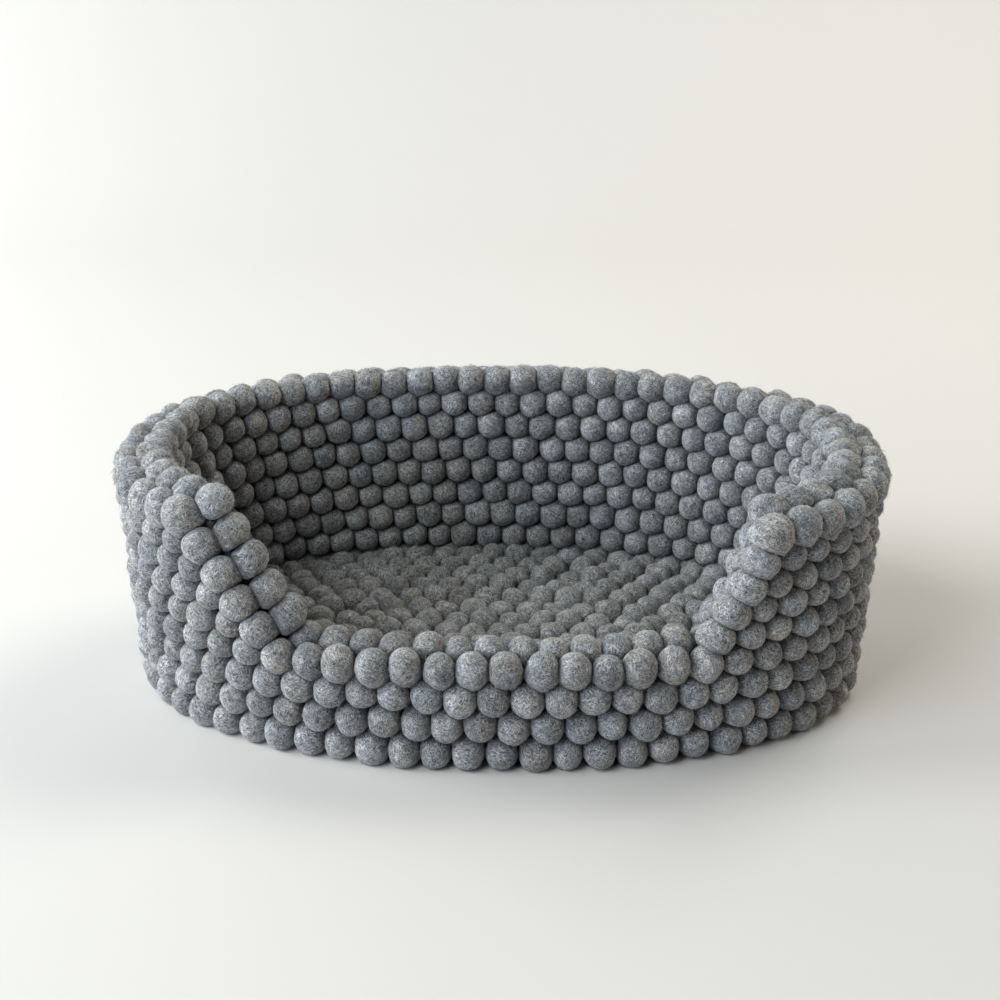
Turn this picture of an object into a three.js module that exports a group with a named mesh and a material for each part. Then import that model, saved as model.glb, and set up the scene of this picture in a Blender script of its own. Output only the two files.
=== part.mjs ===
// Felt ball pet basket: an oval bed with a wall of two layers of felt balls and a ball mat as its floor.
// Millimetres, +Z up, the dip to step in towards -Y, the origin on the ground under the middle.

import * as THREE from 'three';
import { mergeVertices } from 'three/addons/utils/BufferGeometryUtils.js';

// The oval through the ball centres of the outer layer's bottom row
const HALF_LENGTH = 281;
const HALF_WIDTH = 178;
const OVAL_POWER = 2.23; // 2 is an ellipse, a higher power is squarer
const LENGTH_FLARE = 7.7; // how far the top row lies outside the bottom row at the two ends
const WIDTH_FLARE = 12.5; // the same at the front and at the back

// Rows of balls, counted from 0 at the ground
const BALL_RADIUS = 12;
const ROW_STEP = 20.4;
const TOP_ROW = 8;
const LIP_ROW = 3; // the highest row that runs across the front
const DIP_HALF_WIDTH = 7; // of the gap in the row above the lip, in balls; half a ball more each row up
const ROW_TURN = 0.12; // how far each row is set round from the row above it, in balls

// The two layers of the wall. Reach is measured from the ball centres to the side that shows.
const GAP = 0.5; // between two pieces that are sewn to each other
const LAYER_STEP = 21.4; // between the ball centres of the two layers
const BACK_REACH = (GAP - LAYER_STEP) / 2; // the hidden side, against the other layer
const OUTER_LAYER = {
  facing: 1, // its balls show on the outside
  inset: 0,
  balls: 63, // in a full row
  bottomRow: 0, // the lowest row with domes
  firstHeight: BALL_RADIUS, // of the centres in row 0
  straightRow: 3, // the row that is not set round
  lipLift: 8, // how much higher the lip's top row stands than the same row elsewhere
  footReach: 4, // of the flat foot on the ground
};
const INNER_LAYER = {
  facing: -1,
  inset: LAYER_STEP,
  balls: 61,
  bottomRow: 1, // row 0 is hidden by the floor mat
  firstHeight: 20.3, // nested in the hollows of the outer layer
  straightRow: 7,
  lipLift: 3.5,
  footReach: 11.6,
};
const FOOT_HEIGHT = 1.5; // of the lowest hollows between balls above the ground

// One ball as a dome: a flat top, and hollows where three balls meet
const DOME_REACH = 11.6;
const DOME_TOP_RADIUS = 5.6;
const HOLLOW_REACH = 3.5;
const OPEN_CORNER_REACH = 5.5; // where a dome's corner stands free on the rim

// The rounded edge along the rim, the slopes and the lip: how far each line lies from the balls'
// centres towards the corner between them, and its reach
const EDGE_FRONT_SHARE = 0.76;
const EDGE_CREST = { share: 0.88, reach: -1 };
const EDGE_BACK = { share: 0.7, reach: BACK_REACH };

// The floor mat: rings of balls around one straight row, each set half a ball along from the next
const FLOOR = { rings: 6, ballPitch: 22.6, top: 38, saddle: 33, groove: 30, edge: 28, powerPerRing: 0.2 };
const FLOOR_REACH = INNER_LAYER.footReach + GAP;

const felt = (color) => new THREE.MeshStandardMaterial({
  color,
  roughness: 1,
  metalness: 0,
  flatShading: true,
});

// A closed oval seen from above, from the middle of the front towards +X and round
class Oval extends THREE.Curve {
  constructor(halfLength, halfWidth, power, offset = 0) {
    super();
    Object.assign(this, { halfLength, halfWidth, power, offset, arcLengthDivisions: 1000 });
  }

  getPoint(share, target = new THREE.Vector3()) {
    const angle = 2 * Math.PI * share - Math.PI / 2;
    const [cosine, sine] = [Math.cos(angle), Math.sin(angle)];
    const bend = (value, exponent) => Math.sign(value) * Math.abs(value) ** exponent;
    const x = this.halfLength * bend(cosine, 2 / this.power);
    const y = this.halfWidth * bend(sine, 2 / this.power);
    const outward = new THREE.Vector3(
      bend(cosine, 2 - 2 / this.power) / this.halfLength,
      bend(sine, 2 - 2 / this.power) / this.halfWidth,
      0
    );
    return target.set(x, y, 0).addScaledVector(outward.normalize(), this.offset);
  }
}

// Triangles of one closed surface, as seen from outside. A flipped skin is the same seen from behind.
class Skin {
  constructor(flipped = false) {
    this.flipped = flipped;
    this.points = [];
  }

  triangle(a, b, c) {
    this.points.push(...(this.flipped ? [a, c, b] : [a, b, c]));
  }

  // Joins two closed lines of points that run the same way, the second to the left of the first,
  // each step along the line that leaves the shorter cross edge
  band(line, nextLine) {
    const shareAt = (points, index) =>
      points[index % points.length].share + Math.floor(index / points.length);
    const pointAt = (points, index) => points[index % points.length].point;
    let i = 0;
    let j = 0;
    while (i < line.length || j < nextLine.length) {
      const crossAfterFirst = Math.abs(shareAt(line, i + 1) - shareAt(nextLine, j));
      const crossAfterNext = Math.abs(shareAt(nextLine, j + 1) - shareAt(line, i));
      const stepFirst = j === nextLine.length || (i < line.length && crossAfterFirst <= crossAfterNext);
      if (stepFirst) {
        this.triangle(pointAt(line, i), pointAt(line, i + 1), pointAt(nextLine, j));
        i += 1;
      } else {
        this.triangle(pointAt(line, i), pointAt(nextLine, j + 1), pointAt(nextLine, j));
        j += 1;
      }
    }
  }

  mesh(name, material) {
    const geometry = mergeVertices(new THREE.BufferGeometry().setFromPoints(this.points));
    geometry.computeVertexNormals();
    const mesh = new THREE.Mesh(geometry, material);
    mesh.name = name;
    return mesh;
  }
}

// One layer of the wall. A place on it is a column, in half balls from the middle of the front,
// and a row. Balls stand on even columns in even rows and on odd columns in odd rows, and each row
// is then set round a little.
class WallLayer {
  constructor(layer) {
    Object.assign(this, layer);
    this.columns = 2 * layer.balls;
    this.oval = new Oval(
      HALF_LENGTH + LENGTH_FLARE / 2,
      HALF_WIDTH + WIDTH_FLARE / 2,
      OVAL_POWER,
      -layer.inset
    );
    this.halfPitch = this.oval.getLength() / this.columns;
    this.skin = new Skin(layer.facing < 0);
  }

  // A point in the layer, lifted where the front lip stands taller
  place(column, row, reach) {
    const share = (column + this.columns) % this.columns / this.columns;
    const turn = this.oval.getUtoTmapping(share);
    const towardsFront = Math.max(0, Math.cos(2 * Math.PI * turn));
    const lift = Math.max(0, Math.min(row / LIP_ROW, (TOP_ROW - row) / (TOP_ROW - LIP_ROW)));
    const height = this.firstHeight + ROW_STEP * row + this.lipLift * lift * towardsFront;
    const flare = (height - BALL_RADIUS) / (ROW_STEP * TOP_ROW);
    const oval = new Oval(
      HALF_LENGTH + LENGTH_FLARE * flare,
      HALF_WIDTH + WIDTH_FLARE * flare,
      OVAL_POWER,
      this.facing * reach - this.inset
    );
    return oval.getPoint(turn).setZ(height);
  }

  onGround(column, reach) {
    return this.place(column, -this.firstHeight / ROW_STEP, reach).setZ(0);
  }

  // A column's place in a row that is set round
  turned(column, row) {
    return column + 2 * ROW_TURN * (this.straightRow - row);
  }

  // True where the layer has a ball, and below its bottom row
  isFilled([column, row]) {
    const wrapped = (column + this.columns) % this.columns;
    const ballsFromFront = Math.min(wrapped, this.columns - wrapped) / 2;
    const gap = DIP_HALF_WIDTH + (row - LIP_ROW - 1) / 2;
    return row <= LIP_ROW || (row <= TOP_ROW && ballsFromFront >= gap);
  }

  // The three ball places that meet at a corner, whose height is counted in thirds of a row
  cellsAt(column, thirds) {
    const row = Math.floor(thirds / 3);
    return thirds - 3 * row === 2
      ? [[column, row], [column - 1, row + 1], [column + 1, row + 1]]
      : [[column - 1, row], [column + 1, row], [column, row + 1]];
  }

  filledCellsAt(column, thirds) {
    return this.cellsAt(column, thirds).filter((cell) => this.isFilled(cell));
  }

  // A corner between balls, drawn in towards the balls around it where it lies on an edge
  corner(column, thirds, share = EDGE_FRONT_SHARE, edgeReach = null) {
    const cells = this.filledCellsAt(column, thirds);
    const mean = (index) => cells.reduce((sum, cell) => sum + cell[index], 0) / cells.length;
    const drawnRow = THREE.MathUtils.lerp(mean(1), thirds / 3, share);
    const drawnColumn = this.turned(THREE.MathUtils.lerp(mean(0), column, share), drawnRow);
    const frontReach = cells.length === 1 ? OPEN_CORNER_REACH : HOLLOW_REACH;
    const point = this.place(drawnColumn, drawnRow, edgeReach ?? frontReach);
    point.z = Math.max(point.z, FOOT_HEIGHT);
    return { share: drawnColumn / this.columns, point };
  }

  addDome(column, row) {
    const across = DOME_TOP_RADIUS / this.halfPitch;
    const up = DOME_TOP_RADIUS / ROW_STEP;
    const middle = this.turned(column, row);
    const right = this.place(middle + across, row, DOME_REACH);
    const top = this.place(middle, row + up, DOME_REACH);
    const left = this.place(middle - across, row, DOME_REACH);
    const bottom = this.place(middle, row - up, DOME_REACH);
    const cornerAt = (step, thirds) => {
      const wrapped = (column + step + this.columns) % this.columns;
      return this.corner(wrapped, 3 * row + thirds).point;
    };
    const [lowerRight, upperRight, peak] = [cornerAt(1, -1), cornerAt(1, 1), cornerAt(0, 2)];
    const [upperLeft, lowerLeft, foot] = [cornerAt(-1, 1), cornerAt(-1, -1), cornerAt(0, -2)];
    const faces = [
      [right, top, left], [right, left, bottom],
      [right, lowerRight, upperRight], [right, upperRight, top], [top, upperRight, peak],
      [top, peak, upperLeft], [top, upperLeft, left], [left, upperLeft, lowerLeft],
      [left, lowerLeft, bottom], [bottom, lowerLeft, foot], [bottom, foot, lowerRight],
      [bottom, lowerRight, right],
    ];
    faces.forEach((face) => this.skin.triangle(...face));
  }

  // The corners along the rim, the slopes and the lip, in order
  edgeCorners() {
    const corners = [];
    for (let column = 0; column < this.columns; column += 1) {
      const inColumn = [];
      for (let row = LIP_ROW; row <= TOP_ROW; row += 1) {
        const thirds = 3 * row + ((column + row) % 2 === 0 ? 2 : 1);
        const filled = this.filledCellsAt(column, thirds).length;
        if (filled === 1 || filled === 2) inColumn.push([column, thirds]);
      }
      corners.push(...(column < this.columns / 2 ? inColumn : inColumn.reverse()));
    }
    return corners;
  }

  line(pointAt) {
    return Array.from({ length: this.columns }, (_, column) => ({
      share: column / this.columns,
      point: pointAt(column),
    }));
  }

  mesh(name, material) {
    for (let row = this.bottomRow; row <= TOP_ROW; row += 1) {
      for (let column = row % 2; column < this.columns; column += 2) {
        if (this.isFilled([column, row])) this.addDome(column, row);
      }
    }
    const edge = this.edgeCorners();
    const edgeLine = (share, reach) =>
      edge.map(([column, thirds]) => this.corner(column, thirds, share, reach));
    const front = edgeLine(EDGE_FRONT_SHARE);
    const crest = edgeLine(EDGE_CREST.share, EDGE_CREST.reach);
    const back = edgeLine(EDGE_BACK.share, EDGE_BACK.reach);
    const backFoot = this.line((column) => this.onGround(column, BACK_REACH));
    const frontFoot = this.line((column) => this.onGround(column, this.footReach));
    const lowest = Array.from({ length: this.columns }, (_, column) => {
      const thirds = 3 * this.bottomRow - ((column + this.bottomRow) % 2 === 0 ? 2 : 1);
      return this.corner(column, thirds);
    });
    this.skin.band(front, crest);
    this.skin.band(crest, back);
    this.skin.band(back, backFoot);
    this.skin.band(backFoot, frontFoot);
    this.skin.band(frontFoot, lowest);
    return this.skin.mesh(name, material);
  }
}

// Points at a height around an oval, one for each share of its length
function ovalLine(oval, count, firstShare, heightAt) {
  return Array.from({ length: count }, (_, index) => {
    const share = (index + firstShare) / count;
    return { share, point: oval.getPointAt(share).setZ(heightAt(index)) };
  });
}

// The straight row in the middle, there and back along its balls and the saddles between them
function middleRow(halfLength) {
  const balls = Math.round((2 * halfLength) / FLOOR.ballPitch) + 1;
  const steps = 4 * (balls - 1);
  return Array.from({ length: steps }, (_, index) => {
    const along = Math.abs(((index + steps / 4) % steps) - steps / 2) / (steps / 2);
    const onBall = index % 2 === (balls - 1) % 2;
    const x = halfLength * (1 - 2 * along);
    return { share: index / steps, point: new THREE.Vector3(x, 0, onBall ? FLOOR.top : FLOOR.saddle) };
  });
}

function floorMesh(innerLayer, material) {
  const skin = new Skin();
  const halfLength = HALF_LENGTH - LAYER_STEP - FLOOR_REACH;
  const halfWidth = HALF_WIDTH - LAYER_STEP - FLOOR_REACH;
  const ringStep = halfWidth / (FLOOR.rings + 0.5);
  const ringOval = (rings) => new Oval(
    halfLength - rings * ringStep,
    halfWidth - rings * ringStep,
    OVAL_POWER + FLOOR.powerPerRing * rings
  );
  const edgeRow = (FLOOR.edge - innerLayer.firstHeight) / ROW_STEP;
  const bottom = innerLayer.line((column) => innerLayer.onGround(column, FLOOR_REACH));
  const middle = new THREE.Vector3();
  bottom.forEach(({ point }, index) => {
    skin.triangle(middle, bottom[(index + 1) % bottom.length].point, point);
  });
  let line = innerLayer.line((column) => innerLayer.place(column, edgeRow, FLOOR_REACH).setZ(FLOOR.edge));
  skin.band(bottom, line);
  for (let ring = 0; ring < FLOOR.rings; ring += 1) {
    const oval = ringOval(ring + 0.5);
    const balls = 2 * Math.round(oval.getLength() / (2 * FLOOR.ballPitch));
    const halfBalls = (ring + 1) % 2;
    const heightAt = (index) => (index % 2 === 0 ? FLOOR.top : FLOOR.saddle);
    const ridge = ovalLine(oval, 2 * balls, halfBalls, heightAt);
    const groove = ovalLine(ringOval(ring + 1), balls, (1 + halfBalls) / 2, () => FLOOR.groove);
    skin.band(line, ridge);
    skin.band(ridge, groove);
    line = groove;
  }
  skin.band(line, middleRow(halfLength - halfWidth));
  return skin.mesh('floor_mat', material);
}

const outerLayer = new WallLayer(OUTER_LAYER);
const innerLayer = new WallLayer(INNER_LAYER);

const basket = new THREE.Group();
basket.name = 'felt_ball_pet_basket';
basket.add(outerLayer.mesh('outer_wall', felt(0x85888b)));
basket.add(innerLayer.mesh('inner_wall', felt(0x7d8184)));
basket.add(floorMesh(innerLayer, felt(0x777978)));

// The lip leans out less than the taller back, so the oval is set back to centre the whole
const middle = new THREE.Box3().setFromObject(basket).getCenter(new THREE.Vector3());
basket.position.set(-middle.x, -middle.y, 0);

export default basket;
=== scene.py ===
"""Felt ball pet basket: every ball its own lumpy, fuzzy form, pressed by its neighbours, in grey wool."""
import math
from dataclasses import dataclass

import bmesh
import bpy
import numpy as np
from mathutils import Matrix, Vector


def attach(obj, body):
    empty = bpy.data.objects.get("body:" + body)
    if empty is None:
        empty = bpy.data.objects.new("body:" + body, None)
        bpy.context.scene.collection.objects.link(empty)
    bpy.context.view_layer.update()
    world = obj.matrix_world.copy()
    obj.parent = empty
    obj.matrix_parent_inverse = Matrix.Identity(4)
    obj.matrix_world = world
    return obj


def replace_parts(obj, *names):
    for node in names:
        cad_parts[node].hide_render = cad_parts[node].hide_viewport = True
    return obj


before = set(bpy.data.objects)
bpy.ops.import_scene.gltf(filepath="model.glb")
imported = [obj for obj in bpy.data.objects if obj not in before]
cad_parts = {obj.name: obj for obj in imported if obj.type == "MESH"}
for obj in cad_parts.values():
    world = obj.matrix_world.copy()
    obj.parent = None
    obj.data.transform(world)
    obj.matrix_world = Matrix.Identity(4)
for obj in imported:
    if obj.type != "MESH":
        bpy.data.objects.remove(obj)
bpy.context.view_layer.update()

MM = 0.001
UP = np.array([0.0, 0.0, 1.0])

# The oval through the ball centres of the outer layer's bottom row, in millimetres as in the solids
HALF_LENGTH = 281.0
HALF_WIDTH = 178.0
OVAL_POWER = 2.23
LENGTH_FLARE = 7.7
WIDTH_FLARE = 12.5
OVAL_MIDDLE = np.array([0.06, -3.652, 0.0])

# Rows of balls, counted from 0 at the ground
BALL_RADIUS = 12.0
ROW_STEP = 20.4
TOP_ROW = 8
LIP_ROW = 3
DIP_HALF_WIDTH = 7
ROW_TURN = 0.12
LAYER_STEP = 21.4
OUTER_LAYER = {
    "facing": 1,
    "inset": 0.0,
    "balls": 63,
    "first_height": BALL_RADIUS,
    "straight_row": 3,
    "lip_lift": 8.0,
    "radii": (12.5, 12.5, 12.4),
    "rim_radius": 15.2,
}
INNER_LAYER = {
    "facing": -1,
    "inset": LAYER_STEP,
    "balls": 61,
    "first_height": 20.3,
    "straight_row": 7,
    "lip_lift": 3.5,
    "radii": (13.4, 13.8, 13.2),
    "rim_radius": 12.2,
}

# The floor mat: rings of balls around one straight row, each set half a ball along from the next, on a
# hidden layer that stands on the ground
FLOOR_REACH = 12.1
FLOOR_RINGS = 6
FLOOR_PITCH = 22.6
FLOOR_TOP = 38.0
FLOOR_POWER_PER_RING = 0.2
FLOOR_RADII = (12.1, 12.1, 10.4)
UNDERSIDE_HEIGHT = 10.2

# Radii of the balls on the edges: along their row, across it and through their layer. Those of the rim
# leave out the second, which is each layer's own rim_radius.
RIM_RADII = (15.2, 13.3)
SLOPE_RADII = (13.3, 12.8, 13.5)
LIP_RADII = (12.6, 13.2, 13.3)

# How the balls differ and how they are pressed
WALL_SPREAD = 0.7
FLOOR_SPREAD = 1.3
SIZE_SPREAD = 0.03
SHAPE_SPREAD = 0.025
WALL_LUMPS = 0.013
FLOOR_LUMPS = 0.028
LUMP_WAVES = 6
LUMP_WAVINESS = 2.4
HIDDEN_SWELL = 0.4
HIDDEN_PRESS = 4
PRESS_POWER = 9
PRESS_OVERLAP = 1.05
PRESS_REACH = 31.0
# The next two shape the shade painted into the creases: how sharply it gathers where balls touch, and how
# little of it the rim keeps
CREASE_SHADE_POWER = 8
RIM_CREASE_SHADE = 0.2
BALL_CUTS = 5
UNDERSIDE_CUTS = 3

# Loose fibres that stand off the felt, each a ribbon of three faces
WALL_FIBRES = 72
RIM_FIBRES = 260
FLOOR_FIBRES = 200
FIBRE_LENGTH = (2.5, 8.0)
FIBRE_WIDTH = 0.22
FIBRE_ROOT_DEPTH = 0.3
FIBRE_RISE = 0.6
FIBRE_SWAY = 0.4
FIBRE_EDGE = -0.1
FIBRE_FACES = np.array([(0, 1, 3), (0, 3, 2), (2, 3, 4)])

# The felt: colours of its wool, how finely and how far its hairs run around a ball, its shades, and the shade
# painted into its creases
WOOL = (0.225, 0.228, 0.232, 1.0)
DARK_WOOL = (0.05, 0.053, 0.059, 1.0)
LIGHT_WOOL = (0.505, 0.507, 0.505, 1.0)
COOL_TINT = (0.972, 0.997, 1.028, 1.0)
WARM_TINT = (1.028, 1.003, 0.97, 1.0)
# Painted warm light: how far the floor balls are tinted warmer, for the warmer light that falls on the floor
FLOOR_WARM_LIGHT_TINT = 0.85
HAIR_FINENESS = 2.8
HAIR_RUN = 2.6
HAIR_SWIRL = 3.5
SWIRL_SCALE = 0.12
LIGHT_HAIRS = (0.58, 0.69)
DARK_HAIRS = (0.45, 0.33)
DARK_FIBRES = 0.3
PATCH_SCALE = 0.1
PATCH_SHADES = (0.8, 1.2)
BALL_SHADES = (0.86, 1.14)
# Shade painted into the creases between balls, where their shadow falls: where it starts, where it is full,
# and how dark
CREASE_SHADE_RANGE = (0.03, 0.62)
CREASE_SHADE = 0.55
SHEEN = 0.25
MATTING_SCALE = 1.1
BUMP_STRENGTH = 0.38
BUMP_DEPTH = 0.0012

# Camera, fitted to the photograph, in millimetres and degrees
CAMERA_PLACE = (46.5, -1193.4, 621.0)
CAMERA_PITCH = 22.1
CAMERA_TURN = 2.22
CAMERA_LENS = 57.9

# Soft daylight, mostly from the left: name, degrees round from +X and above the ground, watts and colour
LIGHT_DISTANCE = 3.0
LIGHT_SIZE = 1.5
LIGHTS = (
    ("left", 180, 24, 94.0, (0.958, 0.99, 1.0)),
    ("back_left", 135, 18, 23.0, (0.89, 0.965, 1.0)),
    ("front_left_low", 225, 18, 34.0, (0.72, 0.805, 1.0)),
    ("front_left_high", 225, 48, 42.0, (0.928, 1.0, 0.99)),
    ("back_right", 45, 48, 44.0, (1.0, 0.988, 0.905)),
    ("right", 0, 18, 16.0, (1.0, 0.875, 0.735)),
)

rng = np.random.default_rng(7)


@dataclass
class Ball:
    """One ball: its centre, its axes along its row, across it and through its layer, and the way it shows."""

    centre: np.ndarray
    axes: np.ndarray
    radii: np.ndarray
    shows: np.ndarray
    row: int = -1

    def __post_init__(self):
        """Hand-made balls are each a little off in place, size and shape."""
        spread = FLOOR_SPREAD if self.on_floor() else WALL_SPREAD
        self.centre = self.centre + rng.normal(0, spread, 3)
        self.radii = self.radii * rng.normal(1, SIZE_SPREAD) * rng.normal(1, SHAPE_SPREAD, 3)
        self.shows = self.shows / np.linalg.norm(self.shows)

    def on_floor(self):
        return self.row < 0


def bend(value, exponent):
    return np.sign(value) * np.abs(value) ** exponent


def oval(turns, half_length, half_width, power, offset=0.0):
    """Points of an oval seen from above, from the middle of the front towards +X, and the ways out of it."""
    angle = 2 * np.pi * np.asarray(turns) - np.pi / 2
    cosine, sine, flat = np.cos(angle), np.sin(angle), np.zeros_like(angle)
    points = np.stack([half_length * bend(cosine, 2 / power), half_width * bend(sine, 2 / power), flat], -1)
    outward = np.stack(
        [bend(cosine, 2 - 2 / power) / half_length, bend(sine, 2 - 2 / power) / half_width, flat], -1
    )
    outward /= np.linalg.norm(outward, axis=-1, keepdims=True)
    return points + offset * outward, outward


def length_and_turns(shares, *shape):
    """An oval's length, and the turns at which it has run the given shares of it."""
    turns = np.linspace(0, 1, 2001)
    points, _ = oval(turns, *shape)
    run = np.concatenate([[0], np.cumsum(np.linalg.norm(np.diff(points, axis=0), axis=1))])
    return run[-1], np.interp(shares, run / run[-1], turns)


def has_ball(row, balls_from_front):
    """True where a layer has a ball: everywhere up to the lip, and outside the dip above it."""
    in_dip = balls_from_front < DIP_HALF_WIDTH + (row - LIP_ROW - 1) / 2
    return row <= LIP_ROW or (row <= TOP_ROW and not in_dip)


def wall_balls(layer):
    """The balls of one layer of the wall, row by row."""
    shape = (HALF_LENGTH + LENGTH_FLARE / 2, HALF_WIDTH + WIDTH_FLARE / 2, OVAL_POWER, -layer["inset"])
    balls = []
    for row in range(TOP_ROW + 1):
        places = np.arange(layer["balls"]) + (row % 2) / 2
        turned = places + ROW_TURN * (layer["straight_row"] - row)
        _, turns = length_and_turns(turned / layer["balls"] % 1, *shape)
        from_front = np.minimum(places, layer["balls"] - places)
        for turn, distance in zip(turns, from_front):
            if has_ball(row, distance):
                on_edge = not has_ball(row + 1, distance - 0.5)
                balls.append(wall_ball(layer, row, turn, on_edge))
    return balls


def wall_ball(layer, row, turn, on_edge):
    """A ball of the wall. Those under the lip are taller, as their rows lie further apart."""
    towards_front = max(0.0, math.cos(2 * math.pi * turn))
    lift = min(row / LIP_ROW, (TOP_ROW - row) / (TOP_ROW - LIP_ROW))
    height = layer["first_height"] + ROW_STEP * row + layer["lip_lift"] * lift * towards_front
    flare = (height - BALL_RADIUS) / (ROW_STEP * TOP_ROW)
    shape = (HALF_LENGTH + LENGTH_FLARE * flare, HALF_WIDTH + WIDTH_FLARE * flare, OVAL_POWER)
    point, outward = oval(turn, *shape, -layer["inset"])
    axes = np.array([np.cross(UP, outward), UP, outward])
    radii = np.array(layer["radii"])
    if row == TOP_ROW:
        radii = np.array([RIM_RADII[0], layer["rim_radius"], RIM_RADII[1]])
    elif on_edge:
        radii = np.array(LIP_RADII if row == LIP_ROW else SLOPE_RADII)
    elif row < LIP_ROW:
        radii[1] *= 1 + layer["lip_lift"] * towards_front / (LIP_ROW * ROW_STEP)
    shows = layer["facing"] * outward + (UP if on_edge else 0.0)
    return Ball(point + OVAL_MIDDLE + height * UP, axes, radii, shows, row)


def floor_balls(height, shows):
    """A layer of the floor mat: rings around a straight row."""
    half_length = HALF_LENGTH - LAYER_STEP - FLOOR_REACH
    half_width = HALF_WIDTH - LAYER_STEP - FLOOR_REACH
    ring_step = half_width / (FLOOR_RINGS + 0.5)
    balls = []
    for ring in range(FLOOR_RINGS):
        inset = (ring + 0.5) * ring_step
        power = OVAL_POWER + FLOOR_POWER_PER_RING * (ring + 0.5)
        shape = (half_length - inset, half_width - inset, power)
        length, _ = length_and_turns(0, *shape)
        count = 2 * round(length / (2 * FLOOR_PITCH))
        half_balls = (ring + 1) % 2
        _, turns = length_and_turns((np.arange(count) + half_balls / 2) / count, *shape)
        balls += [floor_ball(point, outward, height, shows) for point, outward in zip(*oval(turns, *shape))]
    row_half = half_length - half_width
    count = round(2 * row_half / FLOOR_PITCH) + 1
    for x in np.linspace(-row_half, row_half, count):
        balls.append(floor_ball(np.array([x, 0.0, 0.0]), np.array([0.0, 1.0, 0.0]), height, shows))
    return balls


def floor_ball(point, outward, height, shows):
    axes = np.array([np.cross(UP, outward), outward, UP])
    return Ball(point + OVAL_MIDDLE + height * UP, axes, np.array(FLOOR_RADII), shows)


def ball_template(cuts):
    """Directions and faces of a cube blown up to a ball, its edges cut into even arcs."""
    shape = bmesh.new()
    bmesh.ops.create_cube(shape, size=2)
    bmesh.ops.subdivide_edges(shape, edges=shape.edges[:], cuts=cuts, use_grid_fill=True)
    shape.verts.index_update()
    corners = np.tan(np.array([vert.co[:] for vert in shape.verts]) * np.pi / 4)
    faces = np.array([[vert.index for vert in face.verts] for face in shape.faces])
    shape.free()
    return corners / np.linalg.norm(corners, axis=1, keepdims=True), faces


def random_turn():
    """A random rotation."""
    turn, _ = np.linalg.qr(rng.normal(size=(3, 3)))
    return turn * np.sign(np.linalg.det(turn))


def limits_around(index, centres, sizes):
    """Ways and distances to the flats that a ball shares with its neighbours and the ground."""
    apart = centres - centres[index]
    distance = np.linalg.norm(apart, axis=1)
    near = np.flatnonzero((distance < PRESS_REACH) & (distance > 0))
    ways = np.vstack([apart[near] / distance[near, None], -UP])
    limits = PRESS_OVERLAP * distance[near] * sizes[index] / (sizes[index] + sizes[near])
    return ways, np.append(limits, centres[index][2])


def pressed_surface(ball, directions, ways, limits):
    """A ball's surface, an ellipsoid with soft lumps that the flats around it hold back, and its mask of
    painted crease shade.

    Where it shows it stays round. Its hidden side swells between the layers and is pressed flatter.
    """
    radius = 1 / np.linalg.norm(directions @ ball.axes.T / ball.radii, axis=1)
    facing = directions @ ball.shows
    radius *= 1 + HIDDEN_SWELL * np.clip(-2 * facing - 0.3, 0, 1)
    lumps = FLOOR_LUMPS if ball.on_floor() else WALL_LUMPS
    for _ in range(LUMP_WAVES):
        wave = rng.normal(0, LUMP_WAVINESS, 3)
        radius *= 1 + lumps * np.sin(directions @ wave + rng.uniform(0, 2 * np.pi))
    nearness = np.maximum(0, directions @ ways.T) / limits
    # A mask for the shade painted into the creases, strongest where the flats press closest
    crease_shade_mask = (nearness * radius[:, None]) ** CREASE_SHADE_POWER
    crease_shade_mask = crease_shade_mask.sum(axis=1) / (1 + crease_shade_mask.sum(axis=1))
    if ball.row == TOP_ROW:
        crease_shade_mask *= RIM_CREASE_SHADE
    power = PRESS_POWER * (1 + HIDDEN_PRESS * np.clip(0.5 - 2 * facing, 0, 1))
    press = (nearness ** power[:, None]).sum(axis=1)
    radius = (radius ** -power + press) ** (-1 / power)
    return ball.centre + directions * radius[:, None], crease_shade_mask


def fibre_count(ball):
    if ball.on_floor():
        return FLOOR_FIBRES
    return RIM_FIBRES if ball.row == TOP_ROW else WALL_FIBRES


def fibre_points(ball, surface, directions):
    """Loose fibres where a ball shows, as ribbons that follow its curve and stand off it towards the tip.

    Also gives the points of the surface that they grow from.
    """
    seen = np.flatnonzero(directions @ ball.shows > FIBRE_EDGE)
    chosen = rng.choice(seen, fibre_count(ball))
    normal = directions[chosen]
    along = np.cross(normal, rng.normal(size=normal.shape))
    along /= np.linalg.norm(along, axis=1, keepdims=True)
    side = np.cross(normal, along)
    length = rng.uniform(*FIBRE_LENGTH, (len(chosen), 1))
    fall = length ** 2 / (2 * BALL_RADIUS)
    rise = np.abs(rng.normal(FIBRE_RISE, FIBRE_RISE, (len(chosen), 1)))
    sway = rng.normal(0, FIBRE_SWAY, (len(chosen), 1))
    roll = rng.uniform(0, np.pi, (len(chosen), 1))
    half_width = FIBRE_WIDTH / 2 * (np.cos(roll) * side + np.sin(roll) * normal)
    root = surface[chosen] - FIBRE_ROOT_DEPTH * normal
    middle = root + length / 2 * along + (FIBRE_ROOT_DEPTH + rise / 2 - fall / 4) * normal
    tip = root + length * (along + sway * side) + (2 * rise - fall) * normal
    corners = [root - half_width, root + half_width, middle - half_width, middle + half_width, tip]
    points = np.stack(corners, axis=1)
    points[..., 2] = np.maximum(points[..., 2], FIBRE_WIDTH)
    return points, chosen


def repeated(faces, count, points_each):
    """The faces of many like forms, one after the other."""
    steps = np.arange(count)[:, None, None] * points_each
    return (faces[None] + steps).reshape(-1, faces.shape[1])


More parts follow.
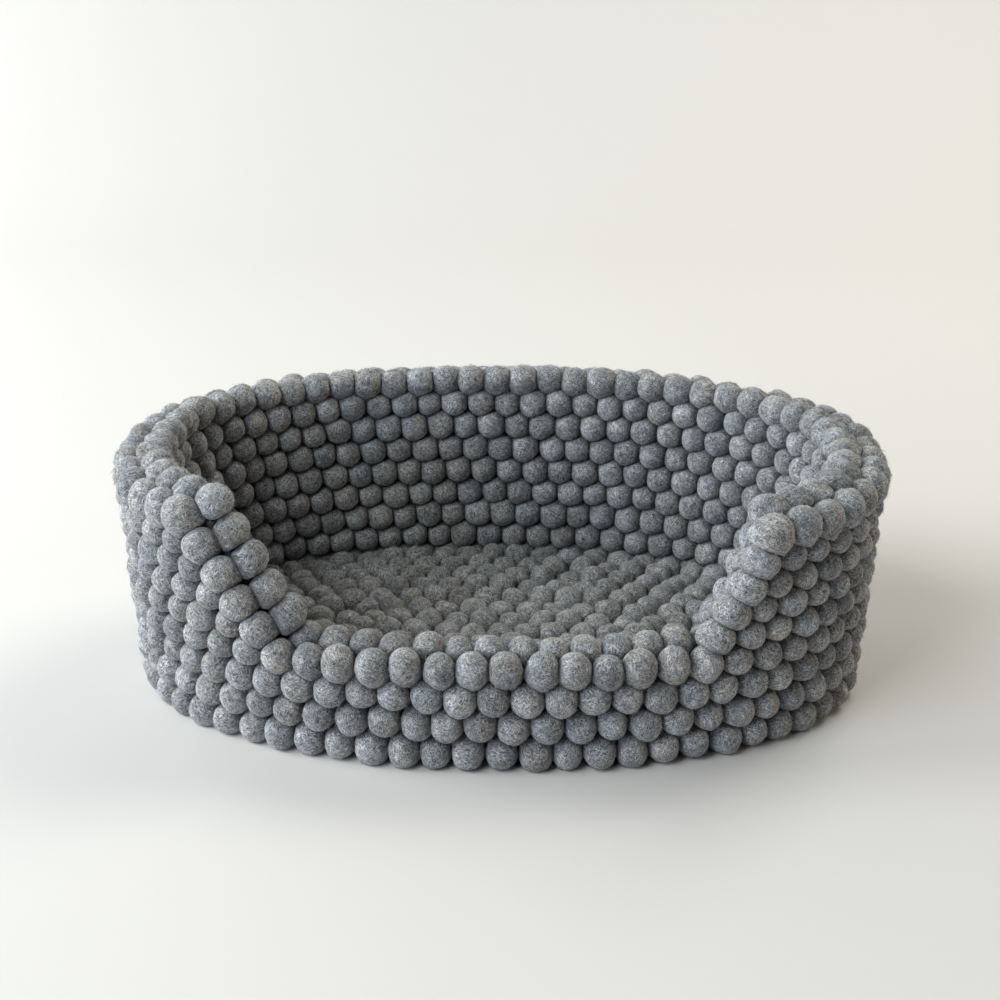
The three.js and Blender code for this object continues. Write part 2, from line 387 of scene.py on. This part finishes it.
def add_piece(name, points, faces, felt, wool, crease_shade_mask, material):
    """A mesh piece with each point's felt coordinates, wool (shade, warmth and looseness) and painted crease
    shade.
    """
    mesh = bpy.data.meshes.new(name)
    mesh.from_pydata(points * MM, [], faces)
    for attribute, values in (("felt", felt), ("wool", wool)):
        layer = mesh.attributes.new(attribute, "FLOAT_VECTOR", "POINT")
        layer.data.foreach_set("vector", values.astype(np.float32).ravel())
    layer = mesh.attributes.new("crease_shade_mask", "FLOAT", "POINT")
    layer.data.foreach_set("value", crease_shade_mask.astype(np.float32))
    mesh.shade_smooth()
    mesh.materials.append(material)
    piece = bpy.data.objects.new(name, mesh)
    bpy.context.collection.objects.link(piece)
    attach(piece, "root")
    return piece


def add_balls(name, chosen, balls, template, material, fuzzy=True):
    """A joined mesh of the chosen balls, and another of the loose fibres on them."""
    directions, faces = template
    centres = np.array([ball.centre for ball in balls])
    sizes = np.array([ball.radii.mean() for ball in balls])
    points, felt, wool, crease_shade_masks, fibres, fibre_crease_shade_masks = [], [], [], [], [], []
    for index in chosen:
        ball = balls[index]
        turned = directions @ random_turn()
        surface, crease_shade_mask = pressed_surface(ball, turned, *limits_around(index, centres, sizes))
        points.append(surface)
        felt.append((surface - ball.centre) @ random_turn())
        shade, warmth = rng.random(2)
        # Painted warm light: floor balls lean warm, for the warmer light on the floor
        if ball.on_floor():
            warmth = FLOOR_WARM_LIGHT_TINT + (1 - FLOOR_WARM_LIGHT_TINT) * warmth
        wool.append(np.tile([shade, warmth, 0.0], (len(turned), 1)))
        crease_shade_masks.append(crease_shade_mask)
        if fuzzy:
            ribbons, roots = fibre_points(ball, surface, turned)
            fibres.append(ribbons)
            # Fibres carry the painted crease shade of the point they grow from
            fibre_crease_shade_masks.append(crease_shade_mask[roots])
    all_faces = repeated(faces, len(chosen), len(directions))
    looks = [np.concatenate(values) for values in (felt, wool, crease_shade_masks)]
    piece = add_piece(name, np.concatenate(points), all_faces, *looks, material)
    if fuzzy:
        add_fibres(name + "_fuzz", np.concatenate(fibres), np.concatenate(fibre_crease_shade_masks), material)
    return piece


def add_fibres(name, fibres, crease_shade_masks, material):
    count, points_each, _ = fibres.shape
    felt = rng.normal(0, BALL_RADIUS, (count, 3))
    wool = np.column_stack([rng.random((count, 2)), np.ones(count)])
    looks = [np.repeat(values, points_each, axis=0) for values in (felt, wool, crease_shade_masks)]
    add_piece(name, fibres.reshape(-1, 3), repeated(FIBRE_FACES, count, points_each), *looks, material)


class Nodes:
    """A material's node tree, with short calls that add linked nodes and return what they put out."""

    def __init__(self, name):
        self.material = bpy.data.materials.new(name)
        self.material.use_nodes = True
        self.tree = self.material.node_tree
        self.shader = self.tree.nodes["Principled BSDF"]

    def add(self, kind, inputs, output=0, **settings):
        node = self.tree.nodes.new(kind)
        for key, value in settings.items():
            setattr(node, key, value)
        for key, value in inputs.items():
            self.set(node, key, value)
        return node.outputs[output]

    def set(self, node, key, value):
        """Links a socket, or gives it a value of its own."""
        if isinstance(value, bpy.types.NodeSocket):
            self.tree.links.new(value, node.inputs[key])
        else:
            node.inputs[key].default_value = value

    def attribute(self, name, output="Vector"):
        return self.add("ShaderNodeAttribute", {}, output, attribute_name=name)

    def math(self, operation, *values):
        return self.add("ShaderNodeMath", dict(enumerate(values)), operation=operation)

    def vector(self, operation, *values):
        return self.add("ShaderNodeVectorMath", dict(enumerate(values)), operation=operation)

    def spread(self, value, start, end, low=0.0, high=1.0):
        """Maps start to low and end to high, softly."""
        inputs = {"Value": value, "From Min": start, "From Max": end, "To Min": low, "To Max": high}
        return self.add("ShaderNodeMapRange", inputs, interpolation_type="SMOOTHSTEP")

    def mix(self, share, first, second):
        return self.add("ShaderNodeMix", {0: share, 6: first, 7: second}, 2, data_type="RGBA")

    def noise(self, place, scale, detail, output="Fac"):
        return self.add("ShaderNodeTexNoise", {"Vector": place, "Scale": scale, "Detail": detail}, output)

    def scaled(self, colour, share):
        return self.add("ShaderNodeVectorMath", {0: colour, "Scale": share}, operation="SCALE")

    def wound(self, place, shift, lies, operation):
        """Noise in thin streaks that run around a ball, about several axes, joined by an operation."""
        joined = None
        for lie in lies:
            inputs = {"Vector": place, "Rotation": lie}
            turned = self.add("ShaderNodeVectorRotate", inputs, rotation_type="EULER_XYZ")
            around = self.vector("NORMALIZE", self.vector("MULTIPLY", turned, (1.0, 1.0, 0.0)))
            around = self.vector("MULTIPLY", around, (HAIR_RUN, HAIR_RUN, 0.0))
            spot = self.vector("MULTIPLY_ADD", turned, (0.0, 0.0, HAIR_FINENESS), around)
            streaks = self.noise(self.vector("ADD", spot, shift), 1.0, 1.0)
            joined = streaks if joined is None else self.math(operation, joined, streaks)
        return joined


def felt_material():
    """Heathered grey wool felt: light and dark hairs that wind around each ball, with shade painted into the
    creases.
    """
    nodes = Nodes("grey_felt")
    felt = nodes.attribute("felt")
    parts = nodes.tree.nodes.new("ShaderNodeSeparateXYZ")
    nodes.set(parts, "Vector", nodes.attribute("wool"))
    shade, warmth, looseness = parts.outputs
    shift = nodes.scaled((300.0, 500.0, 700.0), shade)
    spot = nodes.vector("ADD", felt, shift)
    swirl = nodes.vector("SUBTRACT", nodes.noise(spot, SWIRL_SCALE, 2.0, "Color"), (0.5, 0.5, 0.5))
    place = nodes.vector("MULTIPLY_ADD", swirl, (HAIR_SWIRL, HAIR_SWIRL, HAIR_SWIRL), felt)
    light_lies = ((0.0, 0.0, 0.0), (1.3, 0.5, 0.0), (0.4, 1.8, 0.7))
    dark_lies = ((0.7, 0.3, 0.0), (1.9, 0.2, 0.4), (0.2, 1.2, 1.1))
    light = nodes.spread(nodes.wound(place, shift, light_lies, "MAXIMUM"), *LIGHT_HAIRS)
    dark = nodes.spread(nodes.wound(place, shift, dark_lies, "MINIMUM"), *DARK_HAIRS)
    heather = nodes.mix(light, nodes.mix(dark, WOOL, DARK_WOOL), LIGHT_WOOL)
    clouds = nodes.noise(spot, PATCH_SCALE, 1.0, "Color")
    patches = nodes.add("ShaderNodeSeparateColor", {"Color": clouds}).node.outputs
    tint = nodes.mix(warmth, COOL_TINT, WARM_TINT)
    patch_tint = nodes.mix(nodes.spread(patches[0], 0.35, 0.65), COOL_TINT, WARM_TINT)
    tinted = nodes.vector("MULTIPLY", nodes.vector("MULTIPLY", heather, tint), patch_tint)
    ball_depth = nodes.spread(shade, 0.0, 1.0, *BALL_SHADES)
    depth = nodes.math("MULTIPLY", ball_depth, nodes.spread(patches[1], 0.3, 0.7, *PATCH_SHADES))
    shaded = nodes.scaled(tinted, depth)
    light_fibre = nodes.math("GREATER_THAN", shade, DARK_FIBRES)
    fibre = nodes.mix(light_fibre, DARK_WOOL, LIGHT_WOOL)
    # Painted shade: the felt is darkened where it lies in a crease between balls
    painted_crease_shade = nodes.spread(nodes.attribute("crease_shade_mask", "Fac"), *CREASE_SHADE_RANGE, 1.0, CREASE_SHADE)
    matting = nodes.noise(spot, MATTING_SCALE, 2.0)
    relief = {"Height": matting, "Strength": BUMP_STRENGTH, "Distance": BUMP_DEPTH}
    bump = nodes.add("ShaderNodeBump", relief)
    nodes.set(nodes.shader, "Base Color", nodes.scaled(nodes.mix(looseness, shaded, fibre), painted_crease_shade))
    nodes.set(nodes.shader, "Normal", bump)
    nodes.set(nodes.shader, "Roughness", 0.95)
    nodes.set(nodes.shader, "Specular IOR Level", 0.15)
    nodes.set(nodes.shader, "Sheen Weight", SHEEN)
    nodes.set(nodes.shader, "Sheen Roughness", 0.5)
    return nodes.material


def make_basket():
    """The pieces of the basket, every ball pressed against all its neighbours."""
    layers = {
        "outer_wall": wall_balls(OUTER_LAYER),
        "inner_wall": wall_balls(INNER_LAYER),
        "floor_mat": floor_balls(FLOOR_TOP - FLOOR_RADII[2], UP),
        "underside": floor_balls(UNDERSIDE_HEIGHT, -UP),
    }
    balls = sum(layers.values(), [])
    layer_of = np.repeat(list(layers), [len(layer) for layer in layers.values()])
    rows = np.array([ball.row for ball in balls])
    felt = felt_material()
    fine, coarse = ball_template(BALL_CUTS), ball_template(UNDERSIDE_CUTS)
    for wall in ("outer_wall", "inner_wall"):
        for part, in_part in (("lower_rows", rows <= LIP_ROW), ("upper_rows", rows > LIP_ROW)):
            chosen = np.flatnonzero((layer_of == wall) & in_part)
            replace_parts(add_balls(f"{wall}_{part}", chosen, balls, fine, felt), wall)
    top = np.flatnonzero(layer_of == "floor_mat")
    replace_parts(add_balls("floor_mat_top", top, balls, fine, felt), "floor_mat")
    underside = np.flatnonzero(layer_of == "underside")
    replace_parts(add_balls("floor_mat_underside", underside, balls, coarse, felt, fuzzy=False), "floor_mat")


def make_camera():
    data = bpy.data.cameras.new("camera")
    data.sensor_width = 36.0
    data.lens = CAMERA_LENS
    camera = bpy.data.objects.new("camera", data)
    camera.location = Vector(CAMERA_PLACE) * MM
    camera.rotation_euler = (math.radians(90 - CAMERA_PITCH), 0.0, math.radians(CAMERA_TURN))
    bpy.context.collection.objects.link(camera)
    bpy.context.scene.camera = camera


def make_floor():
    """A pale floor that sweeps up behind the basket."""
    half_side, sweep_start, sweep_radius, top = 20.0, 1.4, 1.0, 4.0
    profile = [(-half_side, 0.0)]
    for angle in np.linspace(0, math.pi / 2, 13):
        profile.append((sweep_start + sweep_radius * math.sin(angle), sweep_radius * (1 - math.cos(angle))))
    profile.append((sweep_start + sweep_radius, top))
    points = [(x, y, z) for y, z in profile for x in (-half_side, half_side)]
    faces = [(2 * i, 2 * i + 1, 2 * i + 3, 2 * i + 2) for i in range(len(profile) - 1)]
    mesh = bpy.data.meshes.new("floor")
    mesh.from_pydata(points, [], faces)
    mesh.shade_smooth()
    nodes = Nodes("pale_floor")
    nodes.set(nodes.shader, "Base Color", (0.65, 0.63, 0.605, 1.0))
    nodes.set(nodes.shader, "Roughness", 0.7)
    mesh.materials.append(nodes.material)
    floor = bpy.data.objects.new("floor", mesh)
    bpy.context.collection.objects.link(floor)


def add_area_light(name, turn, rise, power, colour):
    turn, rise = math.radians(turn), math.radians(rise)
    towards = Vector((math.cos(turn) * math.cos(rise), math.sin(turn) * math.cos(rise), math.sin(rise)))
    data = bpy.data.lights.new(name, "AREA")
    data.size = LIGHT_SIZE
    data.energy = power
    data.color = colour
    light = bpy.data.objects.new(name, data)
    light.location = LIGHT_DISTANCE * towards
    light.rotation_euler = (-towards).to_track_quat("-Z", "Y").to_euler()
    bpy.context.collection.objects.link(light)


def make_light():
    """The lights above are the only ones: the world itself is dark."""
    for light in LIGHTS:
        add_area_light(*light)
    world = bpy.data.worlds.new("dark_world")
    world.use_nodes = True
    world.node_tree.nodes["Background"].inputs["Strength"].default_value = 0.0
    bpy.context.scene.world = world
    bpy.context.scene.view_settings.view_transform = "Standard"


make_camera()
make_basket()
make_floor()
make_light()
